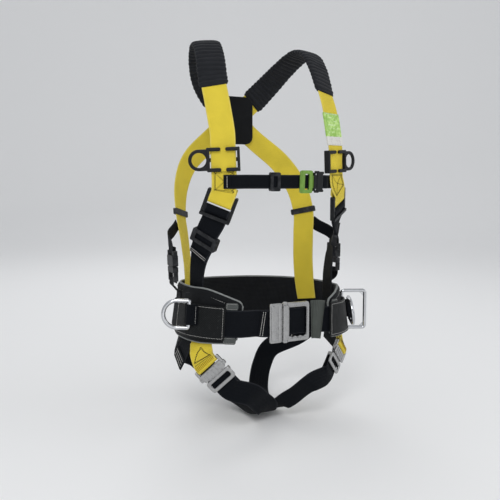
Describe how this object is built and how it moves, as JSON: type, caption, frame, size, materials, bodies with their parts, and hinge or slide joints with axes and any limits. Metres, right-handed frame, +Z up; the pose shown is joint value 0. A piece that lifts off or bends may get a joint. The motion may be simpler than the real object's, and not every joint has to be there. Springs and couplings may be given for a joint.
{
  "type": "safety harness",
  "caption": "Full-body fall-arrest harness with padded work-positioning belt, quick-connect buckles, hinged rings and hook hangers, in its worn shape.",
  "frame": {"origin": "on the wearer's axis, at the waist belt's middle height", "axes": "+Z up along the wearer's axis; the wearer faces -Y; the wearer's left side is +X"},
  "size_m": [0.466, 0.278, 0.7341],
  "materials": {
    "yellow_webbing": "woven polyester webbing",
    "black_webbing": "woven polyester webbing",
    "pad_fabric": "quilted textured nylon",
    "label_fabric": "printed tape",
    "tab_leather": "satin",
    "keeper_webbing": "ribbed tape",
    "green_metal": "anodised satin",
    "ring_steel": "polished forged steel",
    "buckle_steel": "satin plated",
    "black_plastic": "moulded fine grain"
  },
  "bodies": {
    "root": {"shoulder_strap_right": "yellow_webbing", "shoulder_strap_left": "yellow_webbing", "shoulder_pad_right": "pad_fabric", "shoulder_pad_left": "pad_fabric", "label_sleeve": "label_fabric", "dorsal_backing": "pad_fabric", "dorsal_plate": "black_plastic", "chest_strap_long": "black_webbing", "chest_strap_short": "black_webbing", "chest_socket": "black_plastic", "torso_strap_right": "black_webbing", "torso_strap_left": "black_webbing", "torso_adjuster_right": "black_plastic", "torso_adjuster_left": "black_plastic", "link_webbing_right": "black_webbing", "link_webbing_left": "black_webbing", "link_socket_right": "black_plastic", "link_socket_left": "black_plastic", "waist_pad": "pad_fabric", "pad_corner_tabs": "tab_leather", "belt_webbing": "black_webbing", "belt_keeper_left": "keeper_webbing", "ring_patch_right": "pad_fabric", "ring_patch_left": "pad_fabric", "waist_frame": "buckle_steel", "leg_tab_right": "yellow_webbing", "leg_tab_left": "yellow_webbing", "leg_socket_right": "buckle_steel", "leg_socket_left": "buckle_steel", "leg_strap_right": "black_webbing", "leg_strap_left": "black_webbing"},
    "dorsal_d_ring": {"dorsal_ring": "ring_steel"},
    "hanger_right": {"hook_hanger_right": "black_plastic"},
    "hanger_left": {"hook_hanger_left": "black_plastic"},
    "chest_sliding_keeper": {"chest_keeper": "black_plastic"},
    "chest_plug": {"chest_tongue": "green_metal"},
    "chest_button_upper": {"chest_release_upper": "black_plastic"},
    "chest_button_lower": {"chest_release_lower": "black_plastic"},
    "adjuster_bar_right": {"torso_slide_bar_right": "black_plastic"},
    "adjuster_bar_left": {"torso_slide_bar_left": "black_plastic"},
    "torso_sliding_keeper_right": {"torso_keeper_right": "black_plastic"},
    "torso_sliding_keeper_left": {"torso_keeper_left": "black_plastic"},
    "back_slider_body_right": {"back_slider_right": "black_plastic"},
    "back_slider_body_left": {"back_slider_left": "black_plastic"},
    "link_plug_body_right": {"link_plug_right": "black_plastic"},
    "link_plug_body_left": {"link_plug_left": "black_plastic"},
    "side_d_ring_right": {"side_ring_right": "ring_steel"},
    "side_d_ring_left": {"side_ring_left": "ring_steel"},
    "square_ring_body": {"square_ring": "ring_steel"},
    "waist_plug": {"waist_tongue": "buckle_steel"},
    "waist_bar": {"waist_slide_bar": "buckle_steel"},
    "waist_button_upper": {"waist_release_upper": "buckle_steel"},
    "waist_button_lower": {"waist_release_lower": "buckle_steel"},
    "leg_plug_right": {"leg_tongue_right": "buckle_steel"},
    "leg_plug_left": {"leg_tongue_left": "buckle_steel"},
    "leg_button_front_right": {"leg_lever_front_right": "buckle_steel"},
    "leg_button_front_left": {"leg_lever_front_left": "buckle_steel"},
    "leg_button_rear_right": {"leg_lever_rear_right": "buckle_steel"},
    "leg_button_rear_left": {"leg_lever_rear_left": "buckle_steel"}
  },
  "joints": [
    {"name": "dorsal_ring_swing", "type": "hinge", "parent": "root", "child": "dorsal_d_ring", "pos_m": [0, 0.1425, 0.395], "axis": [1, 0, 0], "range_deg": [0, 165]},
    {"name": "side_ring_swing_right", "type": "hinge", "parent": "root", "child": "side_d_ring_right", "pos_m": [-0.17649, -0.05387, 0.01952], "axis": [0.0653, 0.0128, 0.9978], "range_deg": [-25, 90]},
    {"name": "side_ring_swing_left", "type": "hinge", "parent": "root", "child": "side_d_ring_left", "pos_m": [0.17857, -0.05719, 0.00053], "axis": [-0.1527, 0.0004, 0.9883], "range_deg": [0, 80]},
    {"name": "square_ring_swing", "type": "hinge", "parent": "root", "child": "square_ring_body", "pos_m": [0.19316, -0.00758, -0.01], "axis": [0, 0, 1], "range_deg": [0, 80]},
    {"name": "hanger_slide_right", "type": "slide", "parent": "root", "child": "hanger_right", "axis": [-0.0389, 0.0113, 0.9992], "range_m": [-0.003, 0.006]},
    {"name": "hanger_slide_left", "type": "slide", "parent": "root", "child": "hanger_left", "axis": [-0.0557, -0.024, 0.9982], "range_m": [-0.003, 0.006]},
    {"name": "chest_keeper_slide", "type": "slide", "parent": "root", "child": "chest_sliding_keeper", "axis": [0.9966, -0.0818, 0], "range_m": [-0.008, 0.005]},
    {"name": "torso_keeper_slide_right", "type": "slide", "parent": "root", "child": "torso_sliding_keeper_right", "axis": [0.1405, -0.4776, 0.8673], "range_m": [0, 0.003]},
    {"name": "torso_keeper_slide_left", "type": "slide", "parent": "root", "child": "torso_sliding_keeper_left", "axis": [-0.1405, -0.4776, 0.8673], "range_m": [0, 0.003]},
    {"name": "back_slider_slide_left", "type": "slide", "parent": "root", "child": "back_slider_body_left", "axis": [-0.0437, 0.2407, 0.9696], "range_m": [-0.0035, 0.0035]},
    {"name": "back_slider_slide_right", "type": "slide", "parent": "root", "child": "back_slider_body_right", "axis": [0.0437, 0.2407, 0.9696], "range_m": [-0.0035, 0.0035]},
    {"name": "adjuster_bar_slide_right", "type": "slide", "parent": "root", "child": "adjuster_bar_right", "axis": [-0.2264, 0.3289, -0.9168], "range_m": [0, 0.002]},
    {"name": "adjuster_bar_slide_left", "type": "slide", "parent": "root", "child": "adjuster_bar_left", "axis": [0.2264, 0.3289, -0.9168], "range_m": [0, 0.002]},
    {"name": "chest_tongue_slide", "type": "slide", "parent": "root", "child": "chest_plug", "axis": [-0.9946, -0.1041, 0], "range_m": [0, 0.016]},
    {"name": "chest_button_press_upper", "type": "slide", "parent": "root", "child": "chest_button_upper", "axis": [-0.0052, 0.0497, -0.9988], "range_m": [0, 0.002], "stiffness_N_per_m": 400},
    {"name": "chest_button_press_lower", "type": "slide", "parent": "root", "child": "chest_button_lower", "axis": [0.0052, -0.0497, 0.9988], "range_m": [0, 0.002], "stiffness_N_per_m": 400},
    {"name": "link_plug_slide_right", "type": "slide", "parent": "root", "child": "link_plug_body_right", "axis": [0.0285, 0, -0.9996], "range_m": [0, 0.008]},
    {"name": "link_plug_slide_left", "type": "slide", "parent": "root", "child": "link_plug_body_left", "axis": [-0.0285, 0, -0.9996], "range_m": [0, 0.008]},
    {"name": "waist_tongue_slide", "type": "slide", "parent": "root", "child": "waist_plug", "axis": [-1, 0, 0], "range_m": [0, 0.018]},
    {"name": "waist_bar_slide", "type": "slide", "parent": "root", "child": "waist_bar", "axis": [1, 0, 0], "range_m": [0, 0.003]},
    {"name": "waist_button_press_upper", "type": "slide", "parent": "root", "child": "waist_button_upper", "axis": [0, 0, -1], "range_m": [0, 0.0025], "stiffness_N_per_m": 500},
    {"name": "waist_button_press_lower", "type": "slide", "parent": "root", "child": "waist_button_lower", "axis": [0, 0, 1], "range_m": [0, 0.0025], "stiffness_N_per_m": 500},
    {"name": "leg_tongue_slide_right", "type": "slide", "parent": "root", "child": "leg_plug_right", "axis": [0.6085, -0.3112, -0.7299], "range_m": [0, 0.016]},
    {"name": "leg_button_press_front_right", "type": "slide", "parent": "root", "child": "leg_button_front_right", "axis": [-0.616, 0.3946, -0.6818], "range_m": [0, 0.002], "stiffness_N_per_m": 500},
    {"name": "leg_button_press_rear_right", "type": "slide", "parent": "root", "child": "leg_button_rear_right", "axis": [0.616, -0.3946, 0.6818], "range_m": [0, 0.002], "stiffness_N_per_m": 500},
    {"name": "leg_tongue_slide_left", "type": "slide", "parent": "root", "child": "leg_plug_left", "axis": [-0.6085, -0.3112, -0.7299], "range_m": [0, 0.016]},
    {"name": "leg_button_press_front_left", "type": "slide", "parent": "root", "child": "leg_button_front_left", "axis": [0.616, 0.3946, -0.6818], "range_m": [0, 0.002], "stiffness_N_per_m": 500},
    {"name": "leg_button_press_rear_left", "type": "slide", "parent": "root", "child": "leg_button_rear_left", "axis": [-0.616, -0.3946, 0.6818], "range_m": [0, 0.002], "stiffness_N_per_m": 500}
  ],
  "couplings": [
    {"joint": "chest_button_press_lower", "follows": "chest_button_press_upper", "ratio": 1},
    {"joint": "waist_button_press_lower", "follows": "waist_button_press_upper", "ratio": 1},
    {"joint": "leg_button_press_rear_right", "follows": "leg_button_press_front_right", "ratio": 1},
    {"joint": "leg_button_press_rear_left", "follows": "leg_button_press_front_left", "ratio": 1}
  ]
}
